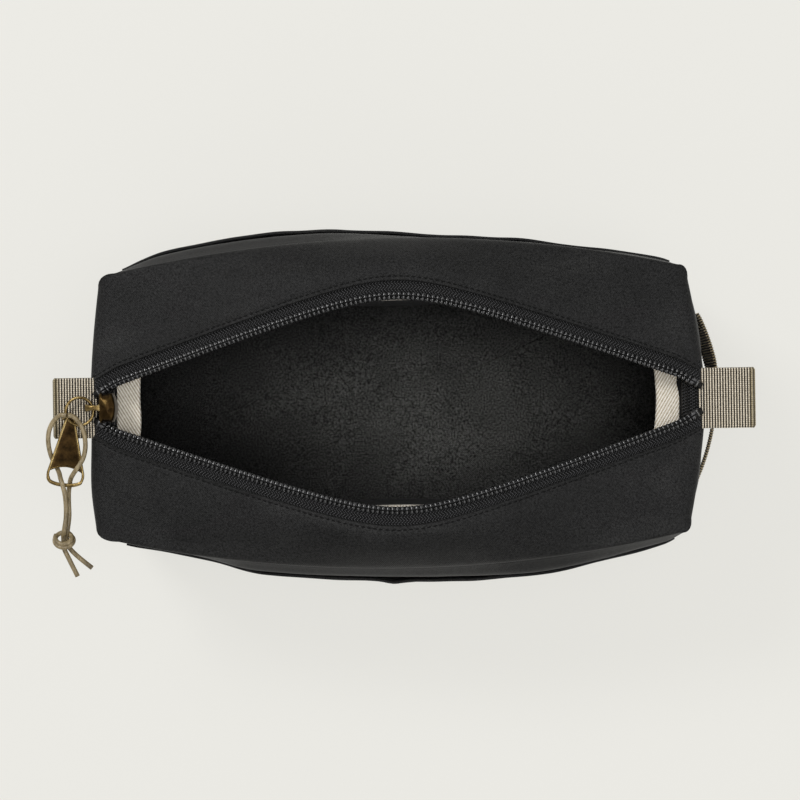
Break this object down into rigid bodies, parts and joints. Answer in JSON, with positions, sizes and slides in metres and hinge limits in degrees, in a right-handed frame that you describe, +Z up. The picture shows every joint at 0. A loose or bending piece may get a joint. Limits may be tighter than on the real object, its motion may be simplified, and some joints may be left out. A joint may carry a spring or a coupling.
{
  "type": "shaving kit bag",
  "caption": "Soft box-shaped kit bag in waxed cloth with an open zipped top, webbing end tabs, a side carry handle, pockets, and a brass pull with a knotted lace.",
  "frame": {"origin": "centre of the base, on the surface the bag stands on", "axes": "+X along the length, towards the carry handle; +Y towards the back; +Z up, out of the mouth"},
  "size_m": [0.3008, 0.1528, 0.128],
  "materials": {
    "cloth": "waxed, dull sheen",
    "tape": "matt herringbone",
    "coil": "gloss",
    "brass": "antique, dark",
    "webbing": "ribbed",
    "lace": "oiled",
    "binding": "matt twill"
  },
  "bodies": {
    "bag": {"bottom_panel": "cloth", "front_panel": "cloth", "back_panel": "cloth", "left_end_panel": "cloth", "right_end_panel": "cloth", "top_front_panel": "cloth", "top_back_panel": "cloth", "zipper_tape_front": "tape", "zipper_tape_back": "tape", "zipper_coil_front": "coil", "zipper_coil_back": "coil", "zipper_stops": "brass", "handle_strap": "webbing", "handle_feet": "webbing", "front_pocket": "cloth", "back_pocket": "cloth", "inner_pocket_front": "cloth", "inner_pocket_back": "cloth", "inner_binding_front": "binding", "inner_binding_back": "binding", "left_seam_binding": "binding", "right_seam_binding": "binding", "base_seam_bindings": "binding", "corner_seam_bindings": "binding"},
    "slider": {"slider_body": "brass", "slider_bridge": "brass"},
    "ring": {"pull_ring": "brass"},
    "pull": {"pull_tab": "brass", "lace_left": "lace", "lace_right": "lace", "lace_knot": "lace"},
    "left_tab": {"left_web_tab": "webbing"},
    "right_tab": {"right_web_tab": "webbing"}
  },
  "joints": [
    {"name": "slider_travel", "type": "slide", "parent": "bag", "child": "slider", "axis": [1, 0, 0], "range_m": [0, 0.238], "deforming": ["top_front_panel", "top_back_panel", "zipper_tape_front", "zipper_tape_back", "zipper_coil_front", "zipper_coil_back", "lace_left", "lace_right", "lace_knot"]},
    {"name": "ring_lift", "type": "hinge", "parent": "slider", "child": "ring", "pos_m": [-0.12839, 0, 0.1128], "axis": [0, 1, 0], "range_deg": [0, 60]},
    {"name": "pull_swing", "type": "hinge", "parent": "ring", "child": "pull", "pos_m": [-0.13894, -0.00333, 0.1128], "axis": [-0.5736, 0.8192, 0], "range_deg": [0, 50]},
    {"name": "left_tab_flex", "type": "hinge", "parent": "bag", "child": "left_tab", "pos_m": [-0.1319, 0, 0.1071], "axis": [0, -1, 0], "range_deg": [0, 80], "stiffness_Nm_per_rad": 0.02},
    {"name": "right_tab_flex", "type": "hinge", "parent": "bag", "child": "right_tab", "pos_m": [0.1319, 0, 0.1071], "axis": [0, 1, 0], "range_deg": [0, 80], "stiffness_Nm_per_rad": 0.02}
  ]
}
